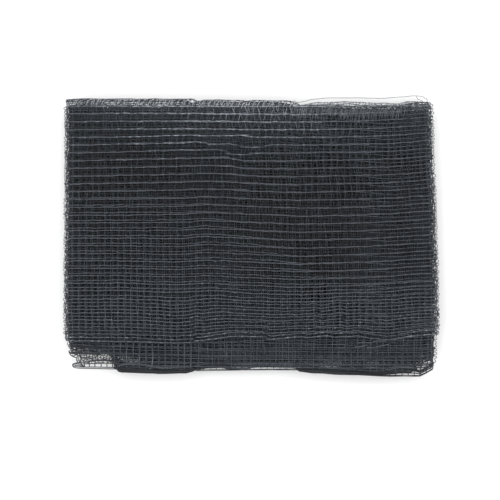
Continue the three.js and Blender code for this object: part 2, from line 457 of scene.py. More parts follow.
def stretchShare(stretch, x, y):
    return within(stretch, x) * fadeIn(stretch, y)


def strandShade(x, y):
    # thin strands show less where the plies lie apart, and where rows crowd; by the far folds they are
    # painted paler as glare
    apart, far = strandTone["apart"], farGlare["farStrands"]
    apartLess = apart["less"] * (pliesApart(x, y) * fadeIn(apart, y))
    crowdLess = strandTone["crowdLess"] * stretchShare(crowd, x, y)
    crowdLess = crowdLess - strandTone["ladderMore"] * stretchShare(ladder, x, y)
    paleBoost = (farGlare["strands"] + far["more"] * fadeIn(far, y)) * patchShare(farGlare, x, y)
    return strandTone["pale"] * (1 - apartLess) * (1 - crowdLess) * (1 + paleBoost)


def stitchShade(key, points):
    # stitches catch more or less light, and less unevenly in the painted glare by the far folds
    uneven = 1 - farGlare["even"][key] * patchShare(farGlare, points[..., 0], points[..., 1])
    return 1 + (stitches.uniform(*net[key], points.shape[:2]) - 1) * uneven


def boldShare(points):
    # how much rows stand out
    return patchShare(bold, points[..., 0], points[..., 1])


# How pale the plies look, as painted light and shade: the pile's outer faces and edges are paler than its
# inside, which is painted shaded, and its sides and far ends are painted backlit.
plyPale = {
    "faces": {lastLayer: (1.0, 0.9, 0.56), 0: (0.5, 0.9, 1.0)},
    "inside": (0.4, 0.4, 0.4),
    "runLength": 262,
    "edge": {"tone": 1.35, "reach": 4, "margin": 2, "topMargin": 20},
    "farEdge": {"tone": 1.4, "reach": 8},
    "nearHalf": {"from": -30, "over": -40, "face": 0.14, "others": 0.24},
    "pastEnd": {"tone": (1.05, 1.2, 1.2), "lead": 3, "over": 6},
    "pastEndLeft": {"from": -134, "over": -16, "less": 0.45},
    "crowd": {"layers": (lastLayer - 3, lastLayer - 2), "tone": 0.4},
}


def plyTone(index, ply, x, y, share):
    top = index == lastLayer
    edge, farEdge, nearHalf = plyPale["edge"], plyPale["farEdge"], plyPale["nearHalf"]
    # the outer plies are painted lit, the plies inside the pile painted shaded
    face = plyPale["faces"].get(index, plyPale["inside"])[ply]
    if top and ply == 2:
        face = face + topRows["third"]["tone"] * fadeIn(topRows["third"], x)
    inward = np.minimum(pile["halfWidth"] - np.abs(x),
                        share * plyPale["runLength"] + edge["topMargin" if top else "margin"])
    tone = face + (edge["tone"] - face) * np.exp(-inward / edge["reach"])
    tone = tone + (farEdge["tone"] - tone) * np.exp((share - 1) * plyPale["runLength"] / farEdge["reach"])
    tone = tone + farGlare["tone"] * patchShare(farGlare, x, y)
    tone = tone + nearHalf["face" if top and ply == 0 else "others"] * fadeIn(nearHalf, y)
    if index == lastLayer - 1:  # shows past the end of the top layer, so it is painted lit there instead of shaded
        pastEnd, left = plyPale["pastEnd"], plyPale["pastEndLeft"]
        shown = smooth((endLine(x) + pastEnd["lead"] - y) / pastEnd["over"])
        tone = tone + (pastEnd["tone"][ply] - left["less"] * fadeIn(left, x) - tone) * shown
    elif index in plyPale["crowd"]["layers"]:
        tone = tone + plyPale["crowd"]["tone"] * stretchShare(crowd, x, y)
    return tone


# How knots lie in a layer. Fades are shares of its run, waves are (height, length) in mm.
knotLie = {
    "endFade": 0.03,
    "innerFade": 0.1,
    "endsWithin": 2.5,  # the top layer's plies end together
    "endStep": 0.1,
    "rowWave": (2.2, 80),
    "columnWave": (1.6, 70),
    "columnSlide": 2.6,
    "phase": {"plies": (0.33, 0.5, 0), "layer": 0.27, "first": 0.11},
    "straighter": 0.9,  # where square meshes show
    "alongWander": 0.8,
    "ripple": (0.16, 26),
    "rippleWander": 0.3,
    "mostRipple": 0.3,
}
sideStand = {  # how far the last knots stand in from a side
    "wide": 0.8, "mean": 0.6, "wave": (0.6, 5), "wander": 0.5, "wanderUnit": 0.22,
    "zigzag": 0.8, "strip": 5, "power": 20,
}


def topKnots(ply, x, y, near, share, sides):
    atFar, atNear = smooth((1 - share) / knotLie["endFade"]), smooth(share / knotLie["endFade"])
    fade = atFar if ply == 1 else atFar * atNear
    y = y + topRowShift(ply, x, y) * fade
    y = np.where(y - near < knotLie["endsWithin"], near - knotLie["endStep"] * ply, y)
    toAndFro = (-1) ** (np.arange(len(x))[:, None] + ply)
    slip = topRows["slip"] * ply * pliesApart(x, y)
    slip = slip + topRows["zigzag"] * patchShare(farGlare, x, y) * toAndFro
    for run in endRuns[:-1]:
        apart = x - run["until"]
        pinch = np.exp(-np.abs(apart) / topRows["pleatReach"]) * (1 - share) ** topRows["pleatFade"]
        slip = slip - np.sign(apart) * topRows["pleatPinch"] * pinch
    return x + slip * sides, y, fade


def innerKnots(index, ply, x, y, farShift, share, sides):
    fade = smooth(np.minimum(share, 1 - share) / knotLie["innerFade"])
    loose = 1 - knotLie["straighter"] * stretchShare(ladder, x, y) * (index == lastLayer - 1)
    high, long = knotLie["rowWave"]
    y = y + farShift * share ** net["gather"] + high * slowWave(index, ply, 4, x, y, long) * fade * loose
    phase = knotLie["phase"]
    y = y + net["rowPitch"] * ((phase["plies"][ply] + phase["layer"] * index + phase["first"]) % 1 - 0.5)
    high, long = knotLie["columnWave"]
    slide = knotLie["columnSlide"] * np.sin(phases[index, ply, 7])
    x = x + (slide + high * slowWave(index, ply, 0, x, y, long)) * sides * loose
    return x, y, fade


def plyKnots(index, ply, across, places):
    # knots as (row, column, x y z tone), rows from near to far
    top, upright = index == lastLayer, index % 2 == 0
    x = np.broadcast_to(across, (len(places), len(across))).copy()
    near, far = plyEnds(index, ply, x)
    nearName = layers[index]["near"]
    if nearName in rowLine:
        near = eased(rowLine[nearName], x) + layerPitch
    nearMid, farMid = topRows["close"]["to"] if top else near.mean(), far.mean()
    y = np.broadcast_to(places[:, None], x.shape)
    share = np.clip((y - nearMid) / (farMid - nearMid), 0, 1)
    y = y + (near - nearMid) * (1 - share) ** (topRows if top else net)["gather"]
    sides = smooth((pile["halfWidth"] - np.abs(x)) / net["sideFade"])
    if top:
        x, y, fade = topKnots(ply, x, y, near, share, sides)
    else:
        x, y, fade = innerKnots(index, ply, x, y, far - farMid, share, sides)
    wander = draw.normal(0, net["knotWander"], (3, *x.shape))
    x = x + wander[0] * sides * (1 + net["farJog"]["more"] * fadeIn(net["farJog"], y))
    y = y + wander[1] * fade * knotLie["alongWander"]
    low, high = layerFaces(index, x, y)
    height = net["plyHeights"][ply] if upright else 1 - net["plyHeights"][ply]
    rise, long = knotLie["ripple"]
    ripple = rise * slowWave(index, ply, 2, x, y, long) * fade + knotLie["rippleWander"] * wander[2] * fade
    z = low + (high - low) * height + np.clip(ripple, -knotLie["mostRipple"], knotLie["mostRipple"])
    tone = plyTone(index, ply, x, y, share)
    wave = waved(sideStand["wave"], y, phases[index, ply, 6])
    uneven = sideStand["wander"] * wander[2] / sideStand["wanderUnit"]
    side = sideStand["wide"] * (sideStand["mean"] + wave + uneven)
    turns = (-1) ** (np.arange(len(places))[:, None] + np.arange(len(across)) + ply)
    outermost = np.abs(across) > pile["halfWidth"] - sideStand["strip"]
    side = side + sideStand["zigzag"] * (turns + 1) * outermost
    inward = np.sign(x) * np.abs(across / pile["halfWidth"]) ** sideStand["power"] * side
    x = slideAcross(index, 1 - share if upright else share, x, y) - inward
    return np.stack([x, y, z, tone], axis=-1)


# Strands lean as they go round a far fold, and one stretch of the near folds is paler.
foldLean = {"plyTurn": 2.1, "uneven": (0.4, 31), "mean": 0.55, "swing": 0.45}
paleFold = {"left": -24, "leftFade": 12, "right": 46, "rightFade": 6, "tone": 0.7}


def foldRing(lower, ply, across, turn, tone):
    fold = foldAt(lower, ply, across)
    turn = np.radians(turn)
    y = fold["y"] + fold["outward"] * fold["radius"] * np.cos(turn)
    z = fold["z"] + fold["radius"] * np.sin(turn)
    uneven = waved(foldLean["uneven"], across, phases[lower, ply, 5])
    lean = net["lean"] * (lower % 2) * (math.cos(foldLean["plyTurn"] * ply) + uneven)
    lean = lean * (foldLean["mean"] + foldLean["swing"] * np.cos(turn))
    lean = lean * smooth((pile["halfWidth"] - np.abs(across)) / net["sideFade"])
    x = slideAcross(lower, np.ones_like(across), across + lean, y)
    if lower in tongue["folds"]:
        tone = tone + tongue["pale"] * smooth((tongue["right"] - across) / tongue["fade"])
        begun = paleFold["tone"] * smooth((across - paleFold["left"]) / paleFold["leftFade"])
        tone = tone + begun * smooth((paleFold["right"] - across) / paleFold["rightFade"])
    return np.stack([x, y, z, np.broadcast_to(tone, x.shape)], axis=-1)


def between(points, steps, slack):
    # more points along strands (strand, point, x y z tone), each span a little slack
    if steps == 1:
        return points  # not a copy, so rows and strands of the lower layers share their shade
    start, end = points[:, :-1], points[:, 1:]
    sag = draw.normal(0, 1, (*start.shape[:2], 1)) * np.array([*slack, 0])
    shares = [step / steps for step in range(steps)]
    spans = [start + (end - start) * share + sag * math.sin(math.pi * share) for share in shares]
    inner = np.stack(spans, axis=2).reshape(len(points), -1, points.shape[2])
    return np.concatenate([inner, points[:, -1:]], axis=1)


sideTurns = (36, 72, 108, 144)  # degrees round the loop of a row at a side


def turnBack(ends, starts, bulge):
    # the loop of a row from one ply to the next
    turns = np.radians(sideTurns)[None, :, None]
    middle = ends[:, None] + (starts - ends)[:, None] * (1 - np.cos(turns)) / 2
    middle[:, :, :1] += bulge[:, None, None] * np.sin(turns)
    return middle


def drawnBack(x, y):
    # the near left corner, with an uneven edge
    right = nearCorner["right"] + waved(nearCorner["rightWave"], y)
    far = nearCorner["far"] + waved(nearCorner["farWave"], x)
    return (x < right) & (y < far)


# Strands gather here, and become one mesh for each piece.
def newStrands(cornerBack):
    return {"points": [], "tones": [], "quads": [], "caps": [], "count": 0, "cornerBack": cornerBack}


def addStrands(bundle, points, across, wide, thick, sides):
    place, tone = points[..., :3], points[..., 3]
    tangent = np.gradient(place, axis=1)
    tangent /= np.linalg.norm(tangent, axis=2, keepdims=True) + 1e-9
    across = np.broadcast_to(across, place.shape)
    across = across - tangent * (across * tangent).sum(2, keepdims=True)
    across /= np.linalg.norm(across, axis=2, keepdims=True) + 1e-9
    up = np.cross(tangent, across)
    spoke = 2 * math.pi * np.arange(sides) / sides + (math.pi / 2 if sides == 3 else 0)
    halfWide, halfThick = (np.broadcast_to(size, tone.shape)[..., None, None] / 2 for size in (wide, thick))
    rings = (place[:, :, None] + across[:, :, None] * halfWide * np.cos(spoke)[:, None]
             + up[:, :, None] * halfThick * np.sin(spoke)[:, None])
    strands, rows = tone.shape
    index = np.arange(strands * rows * sides).reshape(strands, rows, sides) + bundle["count"]
    kept = np.zeros((strands, rows + 2), bool)
    kept[:, 1:-1] = ~drawnBack(place[..., 0], place[..., 1]) if bundle["cornerBack"] else True
    here, after = index[:, :-1], index[:, 1:]
    quads = np.stack([here, after, np.roll(after, -1, 2), np.roll(here, -1, 2)], axis=-1)
    bundle["points"].append(rings.reshape(-1, 3))
    bundle["tones"].append(np.repeat(tone.reshape(-1), sides))
    bundle["quads"].append(quads[kept[:, 1:-2] & kept[:, 2:-1]].reshape(-1, 4))
    starts, stops = kept[:, 1:-1] & ~kept[:, :-2], kept[:, 1:-1] & ~kept[:, 2:]
    single = starts & stops
    for cap in (index[starts & ~single], index[stops & ~single][:, ::-1]):
        bundle["quads" if sides == 4 else "caps"].append(cap)
    bundle["count"] += strands * rows * sides


def strandMesh(name, bundle):
    faces = [np.concatenate(bundle[kind]) for kind in ("quads", "caps") if bundle[kind]]
    used, loops = np.unique(np.concatenate([part.reshape(-1) for part in faces]), return_inverse=True)
    loops = loops.reshape(-1).astype(np.int32)
    sizes = np.concatenate([np.full(len(part), part.shape[1]) for part in faces]).astype(np.int32)
    mesh = bpy.data.meshes.new(name)
    mesh.vertices.add(len(used))
    points = np.concatenate(bundle["points"])[used] * mm
    mesh.vertices.foreach_set("co", points.astype(np.float32).reshape(-1))
    mesh.loops.add(len(loops))
    mesh.loops.foreach_set("vertex_index", loops)
    mesh.polygons.add(len(sizes))
    mesh.polygons.foreach_set("loop_start", np.concatenate([[0], np.cumsum(sizes)[:-1]]).astype(np.int32))
    mesh.polygons.foreach_set("use_smooth", np.ones(len(sizes), bool))
    tone = mesh.attributes.new("tone", "FLOAT", "POINT")
    tone.data.foreach_set("value", np.concatenate(bundle["tones"])[used].astype(np.float32))
    mesh.update(calc_edges=True)
    mesh.validate()
    piece = bpy.data.objects.new(name, mesh)
    bpy.context.scene.collection.objects.link(piece)
    print(name, int((sizes - 2).sum()), "triangles")
    return piece


acrossRows = np.array([0.0, 1.0, 0.0])
acrossColumns = np.array([1.0, 0.0, 0.0])
upward = np.array([0.0, 0.0, 1.0])
lastColumn = pile["halfWidth"] - net["columnInset"]
columnPlaces = np.linspace(-lastColumn, lastColumn, net["columns"])
columnPlaces = np.sort(np.concatenate(
    [columnPlaces] + [columnPlaces[[0, -1]] + (inset, -inset) for inset in net["edgeColumns"]]))


def duckUnder(run, knots, steps):
    # where a row jumps at a pleat, its short span lies underneath and is painted shaded
    jump = np.abs(np.diff(knots[..., 1], axis=1)) > net["jump"]
    for step in range(1, steps):
        inner = run[:, step::steps]
        inner[..., 2] -= net["dip"] * jump
        inner[..., 3] *= 1 - net["dipShade"] * jump


# The top layer's end row is the net's own edge, plain above the flap.
endRow = {"wide": 1.1, "thick": 1.25, "tone": 1.15, "plain": 0.35, "left": 100, "right": 142, "fade": 8}


def addLayerRows(bundle, index, knots, fine):
    # a row runs across ply one, turns back along ply two and again along ply three
    steps = 3 if fine else 1
    sides = 4 if fine else 3
    runs = [between(knots[ply], steps, net["rowSlack"]) for ply in (0, 1)] + [knots[2].copy()]
    for run in runs:
        run[..., 3] *= stitchShade("rowShade", run)
    for run in runs[:2] if fine else ():
        run[:, ::steps, 3] *= net["knotShine"]
    if index == lastLayer:
        for ply in (0, 1):
            runs[ply][..., 3] *= 1 + bold["rows"] * boldShare(runs[ply])
            duckUnder(runs[ply], knots[ply], steps)
    first, second, third = runs[0], runs[1][:, ::-1], runs[2]
    bulge = net["sideBulge"] * draw.uniform(*net["bulgeVary"], (2, len(first)))
    path = np.concatenate([
        first,
        turnBack(first[:, -1], second[:, 0], bulge[0]),
        second,
        turnBack(second[:, -1], third[:, 0], -bulge[1]),
        third,
    ], axis=1)
    wide = np.full(path.shape[1], net["rowWide"])
    if fine:
        for start in (0, first.shape[1] + len(sideTurns)):
            wide[start:start + first.shape[1]:steps] = net["knotWide"]
    wide = wide * draw.uniform(*net["rowVary"], (len(path), 1))
    thick = np.full(path.shape[:2], net["rowThick"])
    if index == lastLayer:
        wide[0] *= endRow["wide"]
        thick[0] *= endRow["thick"]
        path[0, :, 3] *= endRow["tone"] - endRow["plain"] * within(endRow, path[0, :, 0])
    addStrands(bundle, path, acrossRows, wide, thick, sides)


# Rows that lie round a fold: ply, turns in degrees, how pale, how far they sway. Round the far folds they
# are painted pale, as backlight.
foldRows = {
    "near": [(2, (-42, -14, 14, 42), 0.4, 0.15), (1, (-85, -30, 5, 40, 85), 0.4, 0.2),
             (0, (-85, -15, 25, 85), 0.4, 0.2)],
    "far": [(0, (-30, 85), 1.5, 0.8), (1, (-85, 0, 85), 1.5, 0.8), (2, (-85, 0, 85), 1.4, 0.6)],
    "top": [(0, (-30, 0, 30), 0.8, 0.35), (1, (-25, 20, 55), 0.95, 0.4), (2, (0, 60, 97), 0.95, 0.4)],
}
foldSway = {"turn": (5, 19), "short": 4.3, "long": 23}


def addFoldRows(bundle, lower, ply, turns, tone, sway):
    x = columnPlaces
    for turn in turns:
        ring = foldRing(lower, ply, x, turn + waved(foldSway["turn"], x, turn), tone)
        short, long = np.sin(x / foldSway["short"] + turn + ply), np.sin(x / foldSway["long"] + turn)
        ring[:, 1] += sway * short * long
        addStrands(bundle, ring[None], roundFold(turn), net["foldRowWide"], net["rowThick"], 3)


# Strands that lean over the far folds, by their lean in mm, and start a little back from them. Their tone
# paints most of them pale, as backlight.
farStrokes = tableOf(
    "fold from to count ply lean tone back",
    (7, -184, 42, 72, 0, 4, 0.4, (4, 4)),
    (7, -182, 40, 44, 0, 4.5, 2.4, (4, 4)),
    (5, 46, 180, 52, 0, 4, 2, (4, 4)),
    (5, 46, 180, 52, 1, -4, 2, (4, 4)),
    (3, 46, 180, 40, 0, 4, 2, (4, 4)),
    (7, 44, 160, 46, 1, 4, 1.5, (4, 12)),
    (7, 46, 158, 46, 1, -5, 1.2, (4, 12)),
)
farStroke = {
    "wide": 0.7, "thick": 0.6, "turns": (80, 55, 30, 5, -25), "tilt": 0.3,
    "wander": 0.7, "leanVary": (0.6, 1.1), "lift": 0.4,
}


def addFarStrokes(bundle, stroke):
    across = np.linspace(stroke["from"], stroke["to"], stroke["count"])
    across = across + draw.normal(0, farStroke["wander"], stroke["count"])
    foot = foldRing(stroke["fold"], stroke["ply"], across, farStroke["turns"][0], stroke["tone"])
    foot[:, 1] -= stitches.uniform(*stroke["back"], len(across))
    foot[:, 0] -= farStroke["tilt"] * stroke["lean"]
    rings = [foot]
    for turn in farStroke["turns"]:
        ring = foldRing(stroke["fold"], stroke["ply"], across, turn, stroke["tone"])
        lean = stroke["lean"] * (1 - abs(turn) / 90)
        ring[:, 0] += lean * draw.uniform(*farStroke["leanVary"], len(across))
        ring[:, 2] += farStroke["lift"]
        rings.append(ring)
    path = np.stack(rings, axis=1)
    addStrands(bundle, path, acrossColumns, farStroke["wide"], farStroke["thick"], 3)


# Thin strands are wider where they are pale, where they lie over one another and at the net's own edges.
column = {
    "pale": 0.65, "mostPale": 1.5, "matched": {"more": 0.8, "from": 20, "over": -50},
    "ladder": 0.5, "edge": 1.2,
}


def addColumns(bundle, ply, runs, fine):
    # thin strands run on from layer to layer, round the folds
    path = np.concatenate(runs, axis=0).transpose(1, 0, 2)
    path[..., 3] *= strandShade(path[..., 0], path[..., 1])
    path = between(path, 2 if fine and ply < 2 else 1, net["strandSlack"])
    wide = net["strandWide"] * (1 + column["pale"] * np.clip(path[..., 3] - 1, 0, column["mostPale"]))
    path[..., 3] *= stitchShade("thinShade", path)
    path[..., 3] *= 1 - bold["strands"] * boldShare(path)
    x, y = path[..., 0], path[..., 1]
    if fine:
        together = (1 - pliesApart(x, y)) * fadeIn(column["matched"], y)
        wide = wide * (1 + column["matched"]["more"] * together)
    else:
        wide = wide * (1 + column["ladder"] * stretchShare(ladder, x, y))
    if ply != 1:
        wide[0 if ply == 0 else -1] *= column["edge"]
    addStrands(bundle, path, acrossColumns, wide, net["strandThick"], 3)


# Netting bunched along the upper near fold, as strands side by side. Lengths in mm, turns in degrees.
rolls = [
    {
        "line": [(-139, -129.5), (-131, -133), (-116, -132.4), (-102, -133.6), (-89, -134.9), (-66, -134.6),
                 (-58, -133.4), (-53, -131.5)],
        "radius": [(-139, 0.8), (-131, 4.2), (-116, 4.9), (-102, 4.1), (-89, 3.5), (-66, 3.5),
                   (-58, 2.8), (-53, 1)],
        "tone": 0.05,
        "crest": [(-134, -129.6), (-121, -127.2), (-110, -128.6), (-102, -130), (-89, -131.7),
                  (-62, -131.2)],
    },
    {
        "line": [(45, -133), (50, -134.2), (64, -135), (94, -136), (128, -136.6), (140, -135.6),
                 (160, -134.4), (168, -132.6)],
        "radius": [(45, 1), (50, 1.9), (64, 2.6), (94, 3.2), (128, 3.4), (140, 3), (160, 2.4), (168, 0.8)],
        "tone": 0.0,
        "crest": [(134, -133), (150, -131.4), (166, -131.6)],
    },
]
rollStrand = {
    "wide": 1.1, "thick": 0.8, "step": 3.2, "height": 26, "shells": (1, 0.6), "turns": (-90, 200, 11),
    "sway": 8, "swayWaves": [(1, 14), (0.5, 6)], "swayHighlight": 0.2, "lift": (0.3, 11),
}
rollCrest = {  # three strands along the top, painted paler as a highlight
    "height": 31.2, "drop": 0.4, "apart": 0.75, "sway": (0.25, 7), "lift": (0.2, 9),
    "tone": 0.65, "toneWave": (0.35, 8),
}


def addRoll(bundle, roll):
    wide, thick, step = rollStrand["wide"], rollStrand["thick"], rollStrand["step"]
    across = np.arange(roll["line"][0][0], roll["line"][-1][0], step)
    centre, swell = eased(roll["line"], across), eased(roll["radius"], across)
    first, last, apart = rollStrand["turns"]
    for shell in rollStrand["shells"]:
        for turn in np.arange(first, last, apart / shell):
            lags = draw.uniform(0, 2 * math.pi, 3)
            sway = sum(waved(wave, across, lag) for wave, lag in zip(rollStrand["swayWaves"], lags))
            angle = np.radians(turn + rollStrand["sway"] * sway)
            radius = (swell - thick / 2) * shell + waved(rollStrand["lift"], across, lags[2])
            y = centre - radius * np.cos(angle)
            z = rollStrand["height"] + radius * np.sin(angle)
            # painted highlight: strands are paler where they sway one way
            pale = roll["tone"] + rollStrand["swayHighlight"] * smooth(sway)
            path = np.stack([across, y, z, pale], axis=-1)[None]
            addStrands(bundle, path, roundFold(-turn), wide, thick, 4 if shell == 1 else 3)
    across = np.arange(roll["crest"][0][0], roll["crest"][-1][0], step)
    for place in (-1, 0, 1):
        sway, lift = (waved(rollCrest[key], across, place) for key in ("sway", "lift"))
        y = eased(roll["crest"], across) + rollCrest["apart"] * place + sway
        z = rollCrest["height"] - rollCrest["drop"] * place * place + lift
        pale = rollCrest["tone"] + waved(rollCrest["toneWave"], across, 2 * place)
        path = np.stack([across, y, z, pale], axis=-1)[None]
        addStrands(bundle, path, acrossRows, wide, thick, 4)


# One pulled row stands off the loose far fold, tied to it at its right end.
looseRow = {
    "line": [(44, 132.5), (50, 134.8), (64, 137.6), (78, 138.8), (104, 138.9), (131, 138.4), (151, 139.8),
             (164, 141), (171, 140.6), (176.5, 138)],
    "ties": [[(176.5, 138), (177.5, 134)], [(166, 141), (167.5, 137.5), (172, 136), (173, 133)]],
    "points": 70,
    "height": 22.5,
    "wave": (0.4, 9),
    "wide": 0.55,
    "tone": 0.7,
}


def addLooseRow(bundle):
    across = np.linspace(looseRow["line"][0][0], looseRow["line"][-1][0], looseRow["points"])
    lines = [np.stack([across, eased(looseRow["line"], across)], axis=-1)]
    for line in lines + [np.array(tie, float) for tie in looseRow["ties"]]:
        height = looseRow["height"] + waved(looseRow["wave"], line[:, :1])
        path = np.concatenate([line, height, np.full_like(height, looseRow["tone"])], axis=1)[None]
        addStrands(bundle, path, acrossRows, looseRow["wide"], looseRow["wide"], 3)


# Thin loops of the knitted edge stand off the two sides of the upper layers.
sideLoop = {
    "layers": (7, 8), "pitch": (3.4, 4.1), "half": (1.1, 1.6), "stand": (0.9, 2.2), "heights": (0.2, 0.9),
    "from": {"left": -112, "right": -129}, "topFrom": -97, "to": 131, "most": 80, "points": 7, "inset": 2.4,
    "wide": 0.75, "tone": 0.8,
}


def addSideLoops(bundle, index):
    for side, outward in (("left", -1), ("right", 1)):
        at = sideLoop["from"][side] + np.cumsum(draw.uniform(*sideLoop["pitch"], sideLoop["most"]))
        at = at[(at < sideLoop["to"]) & ((at > sideLoop["topFrom"]) | (index < lastLayer))]
        high = draw.uniform(*sideLoop["stand"], len(at))[:, None]
        turn = np.linspace(0, math.pi, sideLoop["points"])
        y = at[:, None] - draw.uniform(*sideLoop["half"], len(at))[:, None] * np.cos(turn)
        edge = eased(sideReach[side], y) - outward * (layers[index][side] + sideLoop["inset"])
        x = edge + outward * high * np.sin(turn)
        low, top = layerFaces(index, x, y)
        z = low + (top - low) * draw.uniform(*sideLoop["heights"], len(at))[:, None]
        path = np.stack([x, y, z, np.full_like(x, sideLoop["tone"])], axis=-1)
        addStrands(bundle, path, acrossColumns, sideLoop["wide"], sideLoop["wide"], 3)


def curved(points, steps):
    # a smooth line through points
    points = np.array(points, float)
    ends = np.concatenate([2 * points[:1] - points[1:2], points, 2 * points[-1:] - points[-2:-1]])
    share = np.linspace(0, 1, steps, endpoint=False)[None, :, None]
    a, b, c, d = (ends[first:len(ends) - 3 + first, None] for first in range(4))
    inner = (b + share * (c - a) / 2 + share ** 2 * (a - 2.5 * b + 2 * c - d / 2)
             + share ** 3 * (1.5 * (b - c) + (d - a) / 2))
    return np.concatenate([inner.reshape(-1, points.shape[1]), points[-1:]])


# Single strands along drawn lines.
placedStrand = {"steps": 5, "wave": (0.2, 3), "vary": (0.75, 1.2), "thick": 0.6}


def addPlaced(bundle, line, height, tone, wide, shift=(0, 0)):
    path = curved(line, placedStrand["steps"]) + shift
    height = height + waved(placedStrand["wave"], path[:, :1])
    pale = tone * draw.uniform(*placedStrand["vary"], (len(path), 1))
    path = np.concatenate([path, height, pale], axis=1)[None]
    addStrands(bundle, path, upward, placedStrand["thick"], wide, 4)


# Right of the middle the top layer's end hangs a mesh lower.
endFlap = {
    "rows": [
        [(103.7, -111.2), (110, -110.6), (116.6, -109)],
        [(115.8, -111.4), (120, -111.8), (124.4, -111.5)],
        [(124.6, -110.9), (132, -109.8), (138.4, -108.2)],
        [(106.6, -107.2), (112, -106.4), (119, -106.9), (123, -106.2)],
        [(122.4, -105.6), (128, -105.1), (135.6, -105.2)],
    ],
    "strands": (106.5, 138, 6.4),
    "strandEnds": (-101, -106, -110.4),
    "strandWander": 0.4,
    "strandBelow": 0.6,
    "strandTone": 0.75,
    "wide": 1.2,
    "tone": 1.0,
}


def addEndFlap(bundle):
    height = lastLayer * layerPitch + pile["layerThickness"]
    for row in endFlap["rows"]:
        addPlaced(bundle, row, height, endFlap["tone"], endFlap["wide"])
    far, *further = endFlap["strandEnds"]
    for x in np.arange(*endFlap["strands"]):
        line = [(x, far)] + [(x + draw.normal(0, endFlap["strandWander"]), y) for y in further]
        addPlaced(bundle, line, height - endFlap["strandBelow"], endFlap["strandTone"], net["strandWide"])


# The tongue at the left of the middle fold: one thin ply, its strands pulled about.
tongueMesh = {
    "rim": [
        [(-178.6, -130.2), (-177, -131.4), (-172.5, -132.2), (-160, -132.4), (-145, -132.8), (-134, -133)],
        [(-179, -129.6), (-172, -130.9), (-160, -131), (-150, -131.2), (-134, -131.6)],
    ],
    "strands": [
        [(-182.4, -115), (-181.4, -117.5), (-179.4, -119.7), (-176.7, -121), (-174, -122)],
        [(-174, -122), (-174.5, -124.2), (-173.6, -126.4), (-177.6, -127.8), (-179, -129)],
        [(-172.2, -115), (-170.9, -119.7), (-169.6, -122.4), (-170.9, -125), (-173.1, -126.9)],
        [(-169.6, -122.4), (-165.1, -121.5), (-160.6, -122.4), (-156.2, -121.5), (-153.5, -119.7),
         (-151.7, -116)],
        [(-170.5, -126.9), (-164.2, -126), (-159.7, -125), (-153.5, -124.6), (-146.4, -124.6),
         (-134, -125.4)],
        [(-162, -125), (-157, -124), (-150, -123.8), (-144, -123.9), (-134, -124.4)],
        [(-160, -115), (-157.6, -118.3), (-154.8, -118), (-155.6, -115.6)],
        [(-168, -127.9), (-155.3, -127.4), (-144.6, -127.2), (-134, -127.7)],
        [(-179, -129), (-175, -127.8), (-171, -128.2), (-167, -130.6)],
        [(-177.4, -130.4), (-174.4, -129.2), (-170.6, -129.8), (-168, -131)],
        [(-173.6, -126.4), (-170.6, -127), (-168.4, -129), (-166.4, -131)],
    ],
    "pulled": {
        "left": [(-126, -173.6), (-122, -174), (-120, -178.6), (-117, -181.4)],
        "right": -132,
        "rows": (-126.2, -117, 2.3),
        "rowStep": 2.2, "rowWander": 0.75, "rowBelow": 0.4,
        "columns": (-179, -133, 2.9),
        "columnPoints": 5, "columnWander": 0.8, "columnBelow": 0.8,
        "far": -114.6, "near": -126.8, "leftNear": -122, "leftUntil": -173.6,
        "wide": 0.75,
        "tone": 0.7,
    },
    "bars": {
        "across": (-166.4, -161.8, -156, -150, -144, -138.4),
        "far": -126.6, "middle": -128.6, "near": -131.4, "lean": 0.3, "wander": 0.2, "below": 0.5,
    },
    "wide": 1.0,
    "tone": 0.45,
    "rimTone": 1.15,
    "height": 18,
    "shift": (-1.1, -0.8),
}


def addTongueMesh(bundle):
    def place(line, below, tone, wide):
        addPlaced(bundle, line, tongueMesh["height"] - below, tone, wide, tongueMesh["shift"])

    pulled, bars = tongueMesh["pulled"], tongueMesh["bars"]
    left = np.array(pulled["left"]).T
    for y in np.arange(*pulled["rows"]):
        x = np.arange(np.interp(y, *left), pulled["right"], pulled["rowStep"])
        line = np.stack([x, y + draw.normal(0, pulled["rowWander"], len(x))], axis=-1)
        place(line, pulled["rowBelow"], pulled["tone"], pulled["wide"])
    for x in np.arange(*pulled["columns"]):
        near = pulled["leftNear" if x < pulled["leftUntil"] else "near"]
        y = np.linspace(near, pulled["far"], pulled["columnPoints"])
        line = np.stack([x + draw.normal(0, pulled["columnWander"], len(y)), y], axis=-1)
        line = line[line[:, 0] > np.interp(line[:, 1], *left)]
        if len(line) > 2:
            place(line, pulled["columnBelow"], pulled["tone"], pulled["wide"])
    for kind, tone in (("rim", tongueMesh["rimTone"]), ("strands", tongueMesh["tone"])):
        for line in tongueMesh[kind]:
            place(line, 0, tone, tongueMesh["wide"])
    for x in bars["across"]:
        middle = (x + draw.normal(0, bars["wander"]), bars["middle"])
        line = [(x - bars["lean"], bars["far"]), middle, (x, bars["near"])]
        place(line, bars["below"], tongueMesh["tone"], tongueMesh["wide"])


foldPale = {"top": 3.4, "far": 1.8, "near": 0.5, "upperNear": 0.2}  # thin strands round the folds, painted pale round the far folds as backlight


def foldTone(index, ply):
    if index % 2 == 0:
        return foldPale["top" if index == lastLayer and ply == 0 else "far"]
    return foldPale["upperNear" if index == lastLayer - 1 else "near"]


